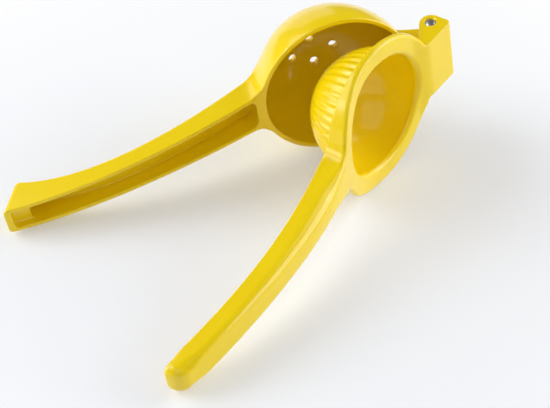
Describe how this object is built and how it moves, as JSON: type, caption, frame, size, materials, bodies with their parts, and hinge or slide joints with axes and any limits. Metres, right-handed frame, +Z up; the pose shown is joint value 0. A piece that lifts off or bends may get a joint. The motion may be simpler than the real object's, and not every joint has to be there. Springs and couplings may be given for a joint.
{
  "type": "hinged lemon squeezer",
  "caption": "Two-lever hand press for halved lemons: a drained bowl and a fluted dome on hinged channel handles, enamelled yellow.",
  "frame": {"origin": "on the table under the middle of the opened tool's bounding box", "axes": "+X from the handle tips towards the hinge, +Y from the press lever towards the bowl lever, +Z up from the table"},
  "size_m": [0.2113, 0.1398, 0.0742],
  "materials": {
    "enamel": "gloss enamel on cast aluminium",
    "pin_steel": "plain turned ends"
  },
  "bodies": {
    "bowl_arm": {"strainer_bowl": "enamel", "bowl_handle": "enamel", "hinge_tongue": "enamel"},
    "press_arm": {"press_dome": "enamel", "press_flange": "enamel", "press_handle": "enamel", "hinge_clevis": "enamel", "hinge_pin": "pin_steel"}
  },
  "joints": [
    {"name": "lever_hinge", "type": "hinge", "parent": "bowl_arm", "child": "press_arm", "pos_m": [0.0965, 0.01275, 0.04587], "axis": [-0.1925, -0.0083, 0.9813], "range_deg": [-32.4, 147.6]}
  ]
}
